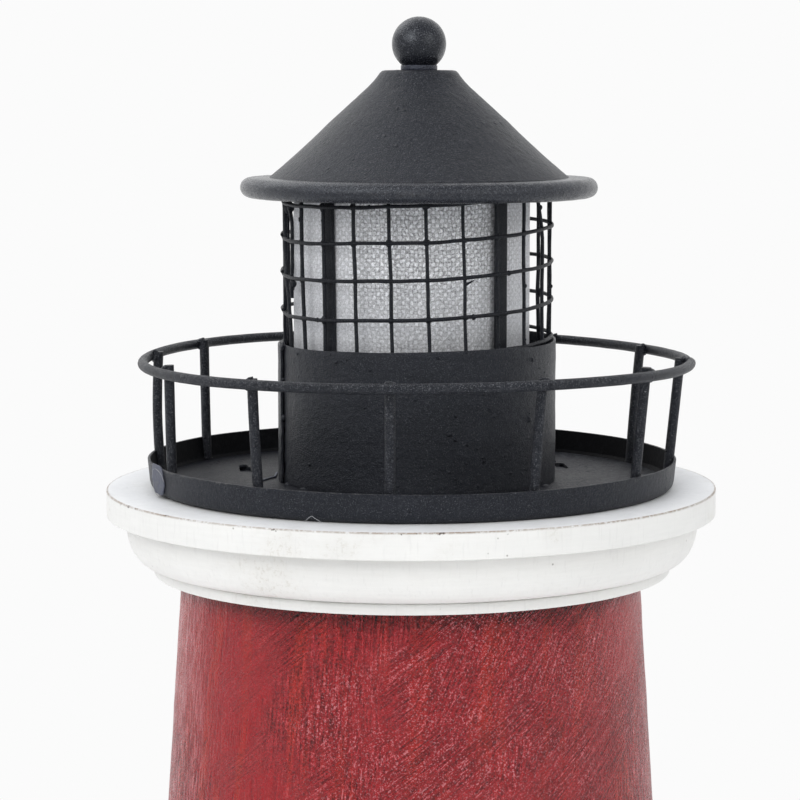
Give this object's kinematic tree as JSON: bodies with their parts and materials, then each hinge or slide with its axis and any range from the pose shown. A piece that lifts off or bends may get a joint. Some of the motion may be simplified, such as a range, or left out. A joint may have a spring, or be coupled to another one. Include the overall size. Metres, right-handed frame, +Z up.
{
  "type": "table lighthouse ornament",
  "caption": "Table lighthouse ornament: red tapered tower, white turned cornice, black railed gallery, and a wire-mesh lantern under a lift-off conical roof with a ball finial.",
  "frame": {"origin": "middle of the plinth's underside, on the table", "axes": "+Z up along the tower's axis, -Y towards the front"},
  "size_m": [0.244, 0.244, 0.6241],
  "materials": {
    "white_wood": "matte white paint, brushed, with grime in the corners",
    "red_wood": "brushed dark red paint, streaked and worn",
    "raw_wood": "sawn, unpainted",
    "black_metal": "satin charcoal paint, slightly sandy",
    "diffuser_sheet": "silver-grey woven-textured sheet",
    "screw_steel": "zinc plated",
    "lamp_plastic": "fine satin moulding",
    "lens_plastic": "frosted translucent",
    "board_green": "lacquered circuit board",
    "cell_case": "plain wrapped cell",
    "switch_plastic": "black moulding"
  },
  "bodies": {
    "lighthouse": {"plinth": "white_wood", "base_moulding": "white_wood", "tower_shell": "red_wood", "tower_foot_block": "raw_wood", "tower_top_block": "raw_wood", "base_screws": "screw_steel", "cornice_moulding": "white_wood", "cornice_board": "white_wood", "cornice_screws": "screw_steel", "gallery_tray": "black_metal", "gallery_deck": "black_metal", "rail_ring": "black_metal", "lantern_drum": "black_metal", "mesh_hoops": "black_metal", "mesh_uprights": "black_metal", "deck_screws": "screw_steel", "diffuser_sleeve": "diffuser_sheet", "baluster_01": "black_metal", "baluster_02": "black_metal", "baluster_03": "black_metal", "baluster_04": "black_metal", "baluster_05": "black_metal", "baluster_06": "black_metal", "baluster_07": "black_metal", "baluster_08": "black_metal", "baluster_09": "black_metal", "baluster_10": "black_metal", "baluster_11": "black_metal", "baluster_12": "black_metal", "cage_post_1": "black_metal", "cage_post_2": "black_metal", "cage_post_3": "black_metal", "cage_post_4": "black_metal"},
    "roof": {"roof_cone": "black_metal", "roof_brim": "black_metal", "roof_collar": "black_metal", "finial_neck": "black_metal", "finial_ball": "black_metal", "finial_stud": "screw_steel", "finial_washer": "screw_steel", "finial_nut": "screw_steel"},
    "lamp": {"lamp_housing": "lamp_plastic", "lamp_door": "lamp_plastic", "lamp_lens": "lens_plastic", "lamp_board": "board_green", "lamp_door_screws": "screw_steel", "lamp_cell_1": "cell_case", "lamp_cell_2": "cell_case", "lamp_cell_3": "cell_case"},
    "switch": {"lamp_switch": "switch_plastic"}
  },
  "joints": [
    {"name": "roof_lift", "type": "slide", "parent": "lighthouse", "child": "roof", "axis": [0, 0, 1], "range_m": [0, 0.06]},
    {"name": "lamp_lift", "type": "slide", "parent": "lighthouse", "child": "lamp", "axis": [0, 0, 1], "range_m": [0, 0.06]},
    {"name": "lamp_switch_slide", "type": "slide", "parent": "lamp", "child": "switch", "axis": [1, 0, 0], "range_m": [0, 0.003]}
  ]
}
